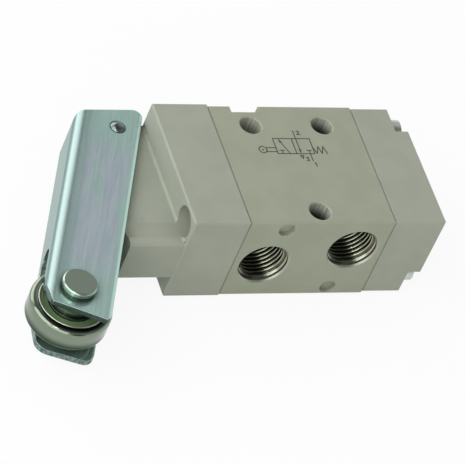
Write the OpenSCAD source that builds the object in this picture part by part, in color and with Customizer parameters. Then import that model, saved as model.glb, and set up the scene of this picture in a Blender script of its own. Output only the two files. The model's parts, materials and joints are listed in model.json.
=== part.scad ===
// Roller lever air valve: a ported block between a lever head and a spring cap,
// with a sealed spool that a plunger and a sprung roller lever push along the block.
// +X runs from the lever to the cap, +Y from the port face to the far face, +Z out of the front face.

/* [Block] */
// Length of the block along the spool
body_l = 30.2; // [29:0.2:36]
// Depth of the block from the port face to the far face
body_d = 30; // [29.5:0.5:36]
// Thickness of the block from the back to the front face
body_h = 20.4; // [19.6:0.2:25]
// Bevel on the edges of the block, the head and the cap
edge_c = 0.3; // [0.1:0.05:0.35]
// Radius of the bore for the spool and its seals
bore_r = 6.5; // [6:0.1:6.8]

/* [Ports] */
// Radius of a port at the root of its thread
port_r = 4.86; // [4:0.02:5]
// Depth of a port's thread
port_depth = 8; // [6:0.25:8]
// Distance between the two ports of the port face
port_pitch = 17.2; // [16.4:0.2:18]
// Height of one of those ports over the other
port_step = 4; // [0:0.25:5]
// Height of their middle over the spool axis
port_lift = 0.45; // [0:0.05:0.8]
// Bevel at a port's mouth
port_lip = 0.3; // [0.1:0.05:0.5]
// Radius of the passage from a port to the bore
passage_r = 2.3; // [1.5:0.1:2.6]

/* [Fixing holes] */
// Radius of a fixing hole through the block
fix_r = 2.15; // [1.6:0.05:2.3]
// Distance between the two fixing holes near the far face
fix_pitch = 15; // [14.5:0.25:17]
// Distance of those two holes from the far face
fix_far_inset = 5.05; // [4.5:0.05:5.5]
// Distance of the third hole from the port face
fix_near_inset = 3; // [2.8:0.1:4]
// Bevel at a fixing hole's mouths
fix_lip = 0.2; // [0.1:0.05:0.4]
// Width of the locating notch in the far face
notch_w = 6.1; // [4:0.1:7]
// Depth of the notch from the far face
notch_d = 1.75; // [0.8:0.05:2.2]
// Length of the notch down from the front face
notch_l = 3.4; // [2:0.1:4]
// Radius of the two blind dimples in the port face
dimple_r = 1.6; // [1:0.1:1.7]
// Depth of a dimple
dimple_depth = 0.9; // [0.4:0.1:1.2]
// Distance of a dimple's middle from the nearer long edge
dimple_inset = 2.1; // [2.1:0.05:2.4]
// Distance between the dimples along the block
dimple_pitch = 14.2; // [12:0.2:15]

/* [Lever head] */
// Length of the head
head_l = 11.5; // [10.5:0.25:15]
// How far the head stands proud of the block's sides
head_proud = 0.25; // [0.1:0.05:0.5]
// Length of the boss that carries the lever
boss_l = 10.9; // [10:0.1:12]
// Thickness of the boss between the lever's plates
boss_t = 9.8; // [9.2:0.1:10.6]
// Radius of the ear around the pivot pin
ear_r = 3.4; // [2.5:0.1:4]
// Fillet between the boss and the head's end
boss_fillet = 0.4; // [0.2:0.1:0.8]
// Bevel on the long edges of the boss
boss_c = 0.5; // [0.2:0.1:0.8]

/* [Spring cap] */
// Length of the cap
cap_l = 10.75; // [10:0.25:14]
// How far the cap lies inside the block's sides
cap_shy = 0.2; // [0:0.05:0.5]
// Width of a screw's corner recess from the block's side
recess_w = 6.3; // [6.1:0.1:7]
// Height of that recess from the block's front or back
recess_h = 5.9; // [5.9:0.1:6.5]
// Depth of that recess from the cap's end
recess_l = 2.85; // [2.4:0.05:3.5]
// Thickness of the cap's end wall behind the spring
cap_wall = 2.2; // [1.5:0.1:3]

/* [Screws] */
// Radius of a cover screw's shank
screw_r = 1.5; // [1.2:0.05:1.6]
// Radius of its head
screw_head_r = 2.4; // [2.2:0.05:2.45]
// Height of its head
screw_head_h = 2.2; // [1.8:0.1:2.4]
// Radius of its hex socket at the corners
screw_hex_r = 1.4; // [1:0.1:1.6]
// Depth of its hex socket
screw_hex_depth = 1.2; // [0.8:0.1:1.5]
// Length of shank that is screwed into the block
screw_grip = 4.4; // [3.5:0.1:4.6]
// Distance of a screw from the port face or the far face
screw_inset_y = 3.5; // [3.4:0.05:3.7]
// Distance of a screw from the front or the back
screw_inset_z = 3.4; // [3.35:0.05:3.45]
// Radius of the counterbore for a screw in the head
counterbore_r = 3; // [2.8:0.05:3.05]
// Depth of that counterbore
counterbore_l = 6; // [4:0.25:7]

/* [Spool] */
// Radius of the spool's lands
spool_r = 3.5; // [3.2:0.1:3.8]
// Radius of the spool's waist
waist_r = 2.2; // [1.5:0.1:2.6]
// Travel of the spool
stroke = 4.4; // [4.4:0.05:4.6]
// Thickness of a spool seal
seal_t = 2.2; // [1.8:0.1:2.5]
// Free run of the spool's left end before the wiper
end_run = 1.1; // [0.8:0.1:1.5]
// Wall of a flow cage
cage_wall = 1.4; // [1:0.1:1.6]
// Radius of a window in a flow cage
window_r = 1.6; // [1:0.1:1.8]
// Windows around a flow cage
window_count = 6; // [4:1:6]
// Length of a cover's spigot in the bore
spigot_l = 1; // [0.6:0.1:1.2]

/* [Plunger and spring] */
// Radius of the plunger
plunger_r = 2.5; // [2:0.1:2.8]
// Wall of the plunger's bush
bush_wall = 1; // [0.7:0.1:1.2]
// Length of the bush's collar outside the boss
collar_l = 2; // [1:0.25:2.5]
// How far the collar is wider than the bush, as a radius
collar_rim = 0.5; // [0.2:0.1:0.6]
// Thickness of the wiper seal
wiper_t = 2.4; // [1.8:0.1:3]
// Radius of the spring's wire
wire_r = 0.35; // [0.25:0.05:0.4]
// Radius of the spring to the middle of its wire
spring_r = 2.9; // [2.8:0.05:3]
// Turns of the spring
spring_turns = 4.5; // [3.5:0.5:4.5]
// Length of the pilot that centres the spring
pilot_l = 2.5; // [1.5:0.25:3]
// Radius of the cord of the two cover seals
cord_r = 0.65; // [0.5:0.05:0.8]
// Distance of a cover seal's cord from the bore's wall
cord_inset = 1.55; // [1.2:0.05:2]

/* [Lever] */
// Tilt of the lever away from the block at rest
lever_tilt = 22.3; // [20:0.1:24]
// Thickness of the lever's sheet
sheet = 1.2; // [0.8:0.05:1.5]
// Outer radius of the lever's bends
bend_r = 2; // [1.8:0.1:3]
// Distance of the pivot from the head's end
pivot_out = 6; // [5.8:0.1:6.5]
// Distance of the pivot inside the far face
pivot_inset = 1.74; // [1.5:0.02:2.4]
// Radius of the pivot pin
pin_r = 1.45; // [1.2:0.05:1.6]
// How far the pin's domed ends stand proud of the plates
pin_dome = 0.75; // [0.4:0.05:1]
// Distance from the pivot to the outer face of the web
web_out = 8.35; // [8:0.05:9]
// Distance from the pivot to the free edges of the plates
flange_in = 4.4; // [3.8:0.1:4.6]
// How far the tail reaches past the pivot
tail = 4.5; // [3.8:0.1:5]
// Distance from the pivot to the lever's free end
lever_l = 50.2; // [48:0.1:56]
// Distance of the lever's middle plane under the spool axis
lever_drop = 0.5; // [0:0.05:0.8]
// Corner radius at the tail beside the free edges
tail_edge_corner = 1.7; // [1:0.1:2]
// Corner radius at the tail beside the web
tail_web_corner = 2; // [1:0.1:3]
// Corner radius at the free end beside the web
end_web_corner = 3; // [2:0.1:4]
// How far the snipped corners at the free end reach along the web
snip_run = 6.2; // [4:0.1:7]
// How far the snipped corners reach into the plates
snip_in = 2.2; // [1:0.1:3]
// How much shorter the near plate is than the far one at its free edge
near_trim = 0.5; // [0:0.05:0.8]
// Slant of the near plate's end
near_slant = 4.6; // [0:0.1:6]
// Corner radius at the free end beside the free edges
end_edge_corner = 2; // [1:0.1:3]

/* [Roller] */
// Distance from the pivot to the roller along the lever
roller_u = 44; // [42:0.1:45]
// Distance of the roller from the pivot towards the web
roller_v = 2.5; // [1.5:0.1:3]
// Radius of the roller
roller_r = 7.85; // [7.4:0.05:8.2]
// Width of the roller
roller_w = 5; // [4.5:0.1:5.4]
// Rounding of the roller's rims
rim_r = 1; // [0.3:0.05:1.1]
// Bore radius of the roller's outer ring
race_r = 6.4; // [6.2:0.05:6.6]
// Outer radius of the roller's inner ring
inner_r = 4.4; // [4.2:0.05:4.6]
// Radius of a bearing ball
ball_r = 1.15; // [1.1:0.05:1.3]
// Number of balls
ball_count = 8; // [6:1:9]
// Thickness of a bearing shield
shield_t = 0.3; // [0.2:0.05:0.4]
// Depth of a shield under the roller's side
shield_sink = 0.35; // [0.1:0.05:0.5]
// Height of the step at a shield's outer part
shield_step = 0.15; // [0.05:0.05:0.2]
// Thickness of the cage between the balls
ribbon_t = 0.5; // [0.3:0.05:0.6]
// Height of the cage over and under the balls' middles
ribbon_rise = 1.6; // [1.5:0.05:1.65]
// Radius of the roller's axle
axle_r = 2.5; // [2:0.1:2.8]
// Radius of the axle's heads
axle_head_r = 3.3; // [3:0.1:4]
// Height of the axle's heads
axle_head_h = 1.7; // [0.8:0.1:2]
// Height of the narrower foot of the axle's heads
axle_foot_h = 0.6; // [0.3:0.05:0.8]
// How far the foot stands back under the head
axle_foot_in = 0.3; // [0.1:0.05:0.5]
// Bevel on the axle's heads
axle_head_c = 0.25; // [0.1:0.05:0.4]
// Distance from the roller's axis up to the middle of the slot's round end
slot_lead = 9.8; // [9:0.1:12]
// Distance from the roller's axis up to the start of the slot's flared mouth
flare_lead = 0.3; // [-1:0.1:2]
// Angle by which each side of the slot's mouth flares
flare_angle = 45; // [20:1:50]

/* [Clearances] */
// Radial gap of a shaft that turns or slides
run_gap = 0.06; // [0.04:0.01:0.1]
// Gap between pieces that are fixed to one another
fit_gap = 0.04; // [0.02:0.01:0.08]
// Radial gap between a seal and the spool or the plunger
seal_gap = 0.08; // [0.05:0.01:0.1]
// Gap between the boss and each plate of the lever
side_gap = 0.2; // [0.15:0.05:0.4]
// Gap between the plunger's tip and the web at rest
tip_gap = 0.1; // [0.08:0.01:0.2]
// Gap between the roller and the sides of its slot in the web
slot_gap = 0.4; // [0.3:0.05:0.6]
// Gap between a shield and the roller's inner ring
shield_gap = 0.15; // [0.1:0.05:0.25]

/* [Hidden] */
$fn = 64;
// Overshoot of cuts and of joined pieces
over = 0.5;
// Largest share of the roller's wall that its rims may round off
rim_share = 0.8;

// Planes of the block and its covers
axis_z = body_h / 2;
left_x = -body_l / 2;
right_x = body_l / 2;
near_y = -body_d / 2;
far_y = body_d / 2;
head_x = left_x - head_l;
boss_x = head_x - boss_l;
cap_x = right_x + cap_l;
recess_x = cap_x - recess_l;
counterbore_x = head_x + counterbore_l;

// Screw places as offsets from the spool axis
screw_y = far_y - screw_inset_y;
screw_z = axis_z - screw_inset_z;
head_screw_sites = [[-screw_y, screw_z], [screw_y, -screw_z]];
cap_screw_sites = [[screw_y, screw_z], [-screw_y, -screw_z]];

// Seals, cages and spool along the bore
pack_r = bore_r - run_gap;
pack_l = body_l / 2 - spigot_l - fit_gap;
seal_places = [-pack_l + seal_t / 2, -port_pitch / 4, port_pitch / 4, pack_l - seal_t / 2];
land_cover = seal_t / 4;
spool_left = -pack_l - stroke - land_cover;
spool_right = pack_l + spigot_l;
waist_left = seal_places[1] + seal_t / 2 - stroke;
waist_right = seal_places[2] - seal_t / 2 - land_cover;
cavity_r = spool_r + bush_wall;
wiper_x = spool_left - end_run - wiper_t;
pilot_r = spring_r - wire_r - 2 * run_gap;
spring_l = cap_x - cap_wall - spool_right - 2 * fit_gap;
cord_ring_r = bore_r + cord_inset;
groove_w = cord_r + fit_gap;

// Lever planes, pivot and plunger tip
mid_z = axis_z - lever_drop;
pivot = [head_x - pivot_out, far_y - pivot_inset];
gap_w = boss_t + 2 * side_gap;
channel_w = gap_w + 2 * sheet;
web_in = web_out - sheet;
slot_w = roller_w + 2 * slot_gap;
tip_x = pivot.x - (web_in - plunger_r - tip_gap) / cos(lever_tilt) - pivot.y * tan(lever_tilt);
bush_r = plunger_r + bush_wall;
collar_r = bush_r + collar_rim;

// Bearing inside the roller, and the sleeves beside it, which stay clear of the lever's bends
ball_pitch_r = (race_r + inner_r) / 2;
spacer_l = (gap_w - roller_w) / 2 - fit_gap;
spacer_r = min(inner_r, web_in - bend_r + sheet - roller_v - fit_gap);

block_grey = "#aaa69c";
cover_grey = "#a9a59b";
zinc = "#9fb1ad";
steel = "#b9bcbd";
brass = "#b89b54";
rubber = "#23262a";

// Rectangle about the origin with bevelled corners
module bevelled_rect(w, h, c) {
    polygon([
        [-w / 2 + c, -h / 2], [w / 2 - c, -h / 2], [w / 2, -h / 2 + c], [w / 2, h / 2 - c],
        [w / 2 - c, h / 2], [-w / 2 + c, h / 2], [-w / 2, h / 2 - c], [-w / 2, -h / 2 + c]
    ]);
}

// Box between two corners with every edge bevelled
module bevelled_block(low, high, c) {
    size = high - low;
    translate((low + high) / 2) intersection() {
        rotate([90, 0, 90]) linear_extrude(size.x, center = true) bevelled_rect(size.y, size.z, c);
        rotate([90, 0, 0]) linear_extrude(size.y, center = true) bevelled_rect(size.x, size.z, c);
        linear_extrude(size.z, center = true) bevelled_rect(size.x, size.y, c);
    }
}

// Draws at z and, mirrored, at -z
module both_sides(z) {
    for (side = [0, 1]) mirror([0, 0, side]) translate([0, 0, z]) children();
}

// Cylinder along X from x, at an offset from the spool axis
module rod_x(x, r, l, site = [0, 0]) {
    translate([x, site.x, axis_z + site.y]) rotate([0, 90, 0]) cylinder(r = r, h = l);
}

// Ring along X from x on the spool axis
module ring_x(x, r_in, r_out, l) {
    translate([x, 0, axis_z]) rotate([0, 90, 0]) difference() {
        cylinder(r = r_out, h = l);
        translate([0, 0, -over]) cylinder(r = r_in, h = l + 2 * over);
    }
}

// Holes from all round the Z axis, through a wall that starts at wall_r
module radial_holes(count, r, wall_r, wall) {
    for (i = [0 : count - 1]) rotate(360 * i / count) translate([wall_r - over, 0, 0]) rotate([0, 90, 0])
        cylinder(r = r, h = wall + 2 * over);
}

// Port, its bevelled mouth and its passage to the bore, cut from the port face
module port_cut(x, z) {
    translate([x, near_y, z]) rotate([-90, 0, 0]) {
        translate([0, 0, -over]) cylinder(r = port_r, h = port_depth + over);
        translate([0, 0, -over]) cylinder(r1 = port_r + port_lip + over, r2 = port_r, h = port_lip + over);
        cylinder(r = passage_r, h = body_d / 2);
    }
}

// Fixing hole through the block with bevelled mouths
module fixing_cut(x, y) {
    lip_r = fix_r + fix_lip + over;
    translate([x, y, -over]) cylinder(r = fix_r, h = body_h + 2 * over);
    translate([x, y, -over]) cylinder(r1 = lip_r, r2 = fix_r, h = fix_lip + over);
    translate([x, y, body_h - fix_lip]) cylinder(r1 = fix_r, r2 = lip_r, h = fix_lip + over);
}

module dimple_cut(x, z) {
    translate([x, near_y - over, z]) rotate([-90, 0, 0]) cylinder(r = dimple_r, h = dimple_depth + over);
}

// Groove for a cover seal, cut around the spool axis from x
module seal_groove(x, l) {
    ring_x(x, cord_ring_r - groove_w, cord_ring_r + groove_w, l);
}

// Seal of round cord around the spool axis
module cord_ring(x) {
    translate([x, 0, axis_z]) rotate([0, 90, 0]) rotate_extrude() translate([cord_ring_r, 0]) circle(cord_r);
}

// Socket screw with its head's seat at x, pointing along +X
module socket_screw(x, l, site) {
    translate([x, site.x, axis_z + site.y]) rotate([0, 90, 0]) difference() {
        union() {
            translate([0, 0, -screw_head_h]) cylinder(r = screw_head_r, h = screw_head_h);
            translate([0, 0, -over]) cylinder(r = screw_r - fit_gap, h = l + over);
        }
        translate([0, 0, -screw_head_h - over])
            cylinder(r = screw_hex_r, h = screw_hex_depth + over, $fn = 6);
    }
}

module body_block() {
    port_z = axis_z + port_lift;
    color(block_grey) difference() {
        bevelled_block([left_x, near_y, 0], [right_x, far_y, body_h], edge_c);
        rod_x(left_x - over, bore_r, body_l + 2 * over);
        port_cut(-port_pitch / 2, port_z - port_step / 2);
        port_cut(port_pitch / 2, port_z + port_step / 2);
        mirror([0, 1, 0]) port_cut(0, axis_z);
        for (side = [-1, 1]) fixing_cut(side * fix_pitch / 2, far_y - fix_far_inset);
        fixing_cut(0, near_y + fix_near_inset);
        dimple_cut(-dimple_pitch / 2, body_h - dimple_inset);
        dimple_cut(dimple_pitch / 2, dimple_inset);
        translate([-fix_pitch / 2 - notch_w / 2, far_y - notch_d, body_h - notch_l])
            cube([notch_w, notch_d + over, notch_l + over]);
        for (site = head_screw_sites) rod_x(left_x - over, screw_r, screw_grip + fit_gap + over, site);
        for (site = cap_screw_sites)
            rod_x(right_x - screw_grip - fit_gap, screw_r, screw_grip + fit_gap + over, site);
    }
}

// Boss between the lever's plates, with an ear around the pivot pin and a fillet at the head's end
module boss() {
    ear_reach = ear_r - pivot_inset;
    fillet_l = body_d - 2 * boss_c;
    intersection() {
        translate([0, 0, mid_z - boss_t / 2]) linear_extrude(boss_t) {
            translate([boss_x, near_y]) square([boss_l + over, body_d]);
            translate(pivot) circle(ear_r);
        }
        translate([boss_x, ear_reach / 2, mid_z]) rotate([90, 0, 90]) linear_extrude(boss_l + over)
            bevelled_rect(body_d + ear_reach, boss_t, boss_c);
    }
    translate([head_x, 0, mid_z]) both_sides(boss_t / 2)
        rotate([90, 0, 0]) linear_extrude(fillet_l, center = true)
            polygon([[over, -over], [over, boss_fillet + over], [-boss_fillet - over, -over]]);
}

module actuator_head() {
    low = [head_x, near_y - head_proud, 0];
    high = [left_x, far_y + head_proud, body_h + head_proud];
    color(cover_grey) difference() {
        union() {
            bevelled_block(low, high, edge_c);
            boss();
            rod_x(left_x - over, pack_r, spigot_l + over);
        }
        rod_x(boss_x - over, bush_r + fit_gap, wiper_x - boss_x + 2 * over);
        rod_x(wiper_x - fit_gap, cavity_r, left_x + spigot_l + over - wiper_x);
        seal_groove(left_x - 2 * groove_w, 2 * groove_w + over);
        for (site = head_screw_sites) {
            rod_x(boss_x - over, counterbore_r, counterbore_x - boss_x + over, site);
            rod_x(counterbore_x - over, screw_r, left_x - counterbore_x + 2 * over, site);
        }
        translate([pivot.x, pivot.y, 0]) cylinder(r = pin_r + fit_gap, h = body_h);
    }
}

module end_cap() {
    low = [right_x, near_y + cap_shy, cap_shy];
    high = [cap_x, far_y - cap_shy, body_h - cap_shy];
    color(cover_grey) difference() {
        union() {
            bevelled_block(low, high, edge_c);
            rod_x(right_x - spigot_l, pack_r, spigot_l + over);
        }
        rod_x(right_x - spigot_l - over, cavity_r, spigot_l + over + cap_l - cap_wall);
        seal_groove(right_x - over, 2 * groove_w + over);
        for (site = cap_screw_sites) rod_x(right_x - over, screw_r, cap_l + 2 * over, site);
        for (turn = [0, 180]) translate([recess_x, 0, axis_z]) rotate([turn, 0, 0])
            translate([0, far_y - recess_w, axis_z - recess_h])
                cube([recess_l + over, recess_w + over, recess_h + over]);
    }
}

module head_screws() {
    shank_l = left_x - counterbore_x + screw_grip;
    color(steel) for (site = head_screw_sites) socket_screw(counterbore_x - fit_gap, shank_l, site);
}

module cap_screws() {
    shank_l = recess_x - right_x + screw_grip;
    color(steel) for (site = cap_screw_sites) translate([recess_x + fit_gap, 0, 0]) mirror([1, 0, 0])
        socket_screw(0, shank_l, site);
}

module head_seal() {
    color(rubber) cord_ring(left_x - groove_w);
}

module cap_seal() {
    color(rubber) cord_ring(right_x + groove_w);
}

// Seal in the bore, with a rounded lip against the spool
module spool_seal(i) {
    lip_r = seal_t / 2 - fit_gap;
    lip_at = spool_r + seal_gap + lip_r;
    color(rubber) translate([seal_places[i], 0, axis_z]) rotate([0, 90, 0]) rotate_extrude() {
        translate([lip_at, 0]) circle(lip_r);
        translate([lip_at, -lip_r]) square([pack_r - lip_at, 2 * lip_r]);
    }
}

module spool_seal_1() spool_seal(0);
module spool_seal_2() spool_seal(1);
module spool_seal_3() spool_seal(2);
module spool_seal_4() spool_seal(3);

// Windowed ring between two seals, with an open groove around its windows
module flow_cage(i) {
    cage_l = seal_places[i + 1] - seal_places[i] - seal_t;
    middle_x = (seal_places[i] + seal_places[i + 1]) / 2;
    groove_l = 2 * window_r + cage_wall / 2;
    color(brass) translate([middle_x, 0, axis_z]) rotate([0, 90, 0]) difference() {
        cylinder(r = pack_r, h = cage_l, center = true);
        cylinder(r = pack_r - cage_wall, h = cage_l + over, center = true);
        difference() {
            cylinder(r = pack_r + over, h = groove_l, center = true);
            cylinder(r = pack_r - cage_wall / 2, h = groove_l + over, center = true);
        }
        radial_holes(window_count, window_r, pack_r - cage_wall, cage_wall);
    }
}

module flow_cage_1() flow_cage(0);
module flow_cage_2() flow_cage(1);
module flow_cage_3() flow_cage(2);

// Guide bush of the plunger, with a collar outside the boss
module plunger_bush() {
    collar_x = boss_x - fit_gap - collar_l;
    color(brass) difference() {
        union() {
            rod_x(collar_x, collar_r, collar_l);
            rod_x(collar_x + collar_l / 2, bush_r, wiper_x - 2 * fit_gap - collar_x - collar_l / 2);
        }
        rod_x(collar_x - over, plunger_r + run_gap, wiper_x - collar_x + 2 * over);
    }
}

module wiper_seal() {
    color(rubber) ring_x(wiper_x, plunger_r + seal_gap, cavity_r - fit_gap, wiper_t);
}

// Plunger with a domed tip, seated on the spool's left end
module plunger() {
    color(steel) union() {
        translate([tip_x, 0, axis_z]) sphere(plunger_r);
        rod_x(tip_x, plunger_r, spool_left - tip_x);
    }
}

// Spool with two lands, a waist and a pilot for the spring
module spool() {
    color(steel) union() {
        rod_x(spool_left, spool_r, waist_left - spool_left);
        rod_x(waist_left - over, waist_r, waist_right - waist_left + 2 * over);
        rod_x(waist_right, spool_r, spool_right - waist_right);
        rod_x(spool_right - over, pilot_r, pilot_l + over);
    }
}

// Return spring: a round wire swept along a helix from the spool to the cap's end wall
module return_spring() {
    rings_per_turn = 20;
    sides = 8;
    rings = round(spring_turns * rings_per_turn);
    rise = (spring_l - 2 * wire_r) / rings;
    points = [
        for (i = [0 : rings], j = [0 : sides - 1])
            let (turn = 360 * i / rings_per_turn, around = 360 * j / sides)
            let (r = spring_r + wire_r * cos(around))
            [r * cos(turn), r * sin(turn), wire_r + rise * i + wire_r * sin(around)]
    ];
    walls = [
        for (i = [0 : rings - 1], j = [0 : sides - 1])
            let (k = (j + 1) % sides)
            [i * sides + j, i * sides + k, (i + 1) * sides + k, (i + 1) * sides + j]
    ];
    first = [for (j = [sides - 1 : -1 : 0]) j];
    last = [for (j = [0 : sides - 1]) rings * sides + j];
    color(steel) translate([spool_right + fit_gap, 0, axis_z]) rotate([0, 90, 0])
        polyhedron(points, concat(walls, [first], [last]));
}

// Pivot pin with a dome at each end
module pivot_pin() {
    dome_r = (pin_r * pin_r + pin_dome * pin_dome) / (2 * pin_dome);
    color(steel) translate([pivot.x, pivot.y, mid_z]) {
        cylinder(r = pin_r, h = channel_w - over, center = true);
        both_sides(channel_w / 2) intersection() {
            translate([0, 0, -over]) cylinder(r = pin_r, h = 2 * over + pin_dome);
            translate([0, 0, pin_dome - dome_r]) sphere(dome_r);
        }
    }
}

// Draws with the pivot at the origin, the lever hanging along -Y and its middle plane at z = 0
module on_lever() {
    translate([pivot.x, pivot.y, mid_z]) rotate([0, 0, -lever_tilt]) children();
}

module on_roller() {
    on_lever() translate([-roller_v, -roller_u, 0]) children();
}

// Rectangle from a rounded end at x to the free edges, w wide
module u_section(x, w, r) {
    reach = flange_in + over - x;
    translate([x + r, -w / 2]) square([reach - r, w]);
    translate([x, -w / 2 + r]) square([reach, w - 2 * r]);
    for (side = [-1, 1]) translate([x + r, side * (w / 2 - r)]) circle(r);
}

// What is cut away to round a corner at p, between the directions a and b
module corner_cut(p, a, b, r) {
    half = acos(a * b) / 2;
    leg = r / tan(half);
    bisector = (a + b) / norm(a + b);
    middle = p + bisector * r / sin(half);
    difference() {
        polygon([p + a * leg, p - bisector * r, p + b * leg, middle]);
        translate(middle) circle(r);
    }
}

// Outline of the lever's plates; the tail's edge lies along X when the lever is at rest
module lever_outline() {
    slope = [cos(lever_tilt), sin(lever_tilt)];
    tail_edge = [flange_in, (tail + flange_in * slope.y) / slope.x];
    tail_web = [-web_out, (tail - web_out * slope.y) / slope.x];
    end_edge = [flange_in, -lever_l];
    snip = [-web_out, snip_run - lever_l];
    end_web = [snip_in - web_out, -lever_l];
    difference() {
        polygon([tail_edge, tail_web, snip, end_web, end_edge]);
        corner_cut(tail_edge, -slope, [0, -1], tail_edge_corner);
        corner_cut(tail_web, slope, [0, -1], tail_web_corner);
        corner_cut(end_web, [1, 0], (snip - end_web) / norm(snip - end_web), end_web_corner);
        corner_cut(end_edge, [-1, 0], [0, 1], end_edge_corner);
        circle(pin_r + run_gap);
        translate([-roller_v, -roller_u]) circle(axle_r + fit_gap);
    }
}

// Mouth of the slot, seen on the web, widening towards the lever's end as far as the bends
module slot_flare() {
    start = flare_lead - roller_u;
    narrow = slot_w / 2;
    wide = gap_w / 2 - bend_r + sheet;
    flared = start - (wide - narrow) / tan(flare_angle);
    end = -lever_l - over;
    polygon([
        [start, -narrow], [start, narrow], [flared, wide], [end, wide], [end, -wide], [flared, -wide]
    ]);
}

// What is trimmed off the near plate's end
module near_trimming() {
    width = flange_in + web_out;
    trim = near_trim + width * tan(near_slant);
    polygon([
        [flange_in + over, -lever_l - over], [flange_in + over, near_trim - lever_l],
        [flange_in, near_trim - lever_l], [-web_out, trim - lever_l], [-web_out - over, -lever_l - over]
    ]);
}

// Lever bent from sheet into a channel, with a slot in its web for the roller
module lever_channel() {
    reach = lever_l + web_out + tail;
    slot_end = slot_lead - roller_u;
    color(zinc) on_lever() difference() {
        intersection() {
            linear_extrude(channel_w + 2 * over, center = true) lever_outline();
            rotate([90, 0, 0]) linear_extrude(2 * reach, center = true) difference() {
                u_section(-web_out, channel_w, bend_r);
                u_section(-web_in, gap_w, bend_r - sheet);
            }
        }
        translate([-web_in + over, slot_end, 0]) rotate([0, -90, 0])
            cylinder(r = slot_w / 2, h = sheet + 2 * over);
        translate([-web_out - over, -reach, -slot_w / 2]) cube([sheet + 2 * over, reach + slot_end, slot_w]);
        translate([-web_out - over, 0, 0]) rotate([90, 0, 90]) linear_extrude(sheet + 2 * over) slot_flare();
        linear_extrude(channel_w) near_trimming();
    }
}

// Axle with a bevelled head on a narrower foot outside each plate
module roller_axle() {
    bevel_z = axle_head_h - axle_head_c;
    color(steel) on_roller() {
        cylinder(r = axle_r, h = channel_w + axle_head_h, center = true);
        both_sides(channel_w / 2) {
            cylinder(r = axle_head_r - axle_foot_in, h = bevel_z);
            translate([0, 0, axle_foot_h]) cylinder(r = axle_head_r, h = bevel_z - axle_foot_h);
            translate([0, 0, bevel_z])
                cylinder(r1 = axle_head_r, r2 = axle_head_r - axle_head_c, h = axle_head_c);
        }
    }
}

// Sleeves between the plates and the bearing's inner ring
module axle_spacers() {
    color(steel) on_roller() both_sides(roller_w / 2) difference() {
        cylinder(r = spacer_r, h = spacer_l);
        translate([0, 0, -over]) cylinder(r = axle_r + fit_gap, h = spacer_l + 2 * over);
    }
}

// Groove in which the balls run
module ball_track() {
    rotate_extrude() translate([ball_pitch_r, 0]) circle(ball_r + run_gap);
}

module bearing_inner_ring() {
    color(steel) on_roller() difference() {
        cylinder(r = inner_r, h = roller_w, center = true);
        cylinder(r = axle_r + fit_gap, h = roller_w + over, center = true);
        ball_track();
    }
}

// Outer ring of the bearing, with rounded rims: the rolling face of the lever
module bearing_outer_ring() {
    wall = roller_r - race_r;
    rim = min(rim_r, wall * rim_share);
    color(steel) on_roller() difference() {
        rotate_extrude() difference() {
            translate([race_r, -roller_w / 2]) square([wall, roller_w]);
            for (side = [-1, 1]) corner_cut([roller_r, side * roller_w / 2], [-1, 0], [0, -side], rim);
        }
        ball_track();
    }
}

// Shields pressed from sheet, with a step between their outer and inner parts
module bearing_shields() {
    shield_z = roller_w / 2 - shield_sink - shield_t;
    step = min(shield_step, shield_sink);
    rim = race_r - fit_gap;
    eye = inner_r + shield_gap;
    bend = (rim + eye) / 2;
    color(rubber) on_roller() both_sides(shield_z) rotate_extrude() polygon([
        [eye, 0], [bend, 0], [bend + step, step], [rim, step],
        [rim, step + shield_t], [bend, step + shield_t], [bend - step, shield_t], [eye, shield_t]
    ]);
}

module bearing_balls() {
    color(steel) on_roller() for (i = [0 : ball_count - 1]) rotate(360 * i / ball_count)
        translate([ball_pitch_r, 0, 0]) sphere(ball_r);
}

// Ring that spaces the balls, with a drilled pocket for each
module ball_cage() {
    color(brass) on_roller() difference() {
        cylinder(r = ball_pitch_r + ribbon_t / 2, h = 2 * ribbon_rise, center = true);
        cylinder(r = ball_pitch_r - ribbon_t / 2, h = 2 * ribbon_rise + over, center = true);
        radial_holes(ball_count, ball_r + run_gap, ball_pitch_r - ribbon_t / 2, ribbon_t);
    }
}

body_block();
actuator_head();
end_cap();
head_screws();
cap_screws();
head_seal();
cap_seal();
spool_seal_1();
spool_seal_2();
spool_seal_3();
spool_seal_4();
flow_cage_1();
flow_cage_2();
flow_cage_3();
plunger_bush();
wiper_seal();
return_spring();
pivot_pin();
spool();
plunger();
lever_channel();
roller_axle();
axle_spacers();
bearing_inner_ring();
bearing_outer_ring();
bearing_shields();
bearing_balls();
ball_cage();
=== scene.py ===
"""Looks of a roller lever air valve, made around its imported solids."""

import json
import math

import bmesh
import bpy
from bpy.props import FloatProperty, FloatVectorProperty, PointerProperty
from mathutils import Matrix, Vector


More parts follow.
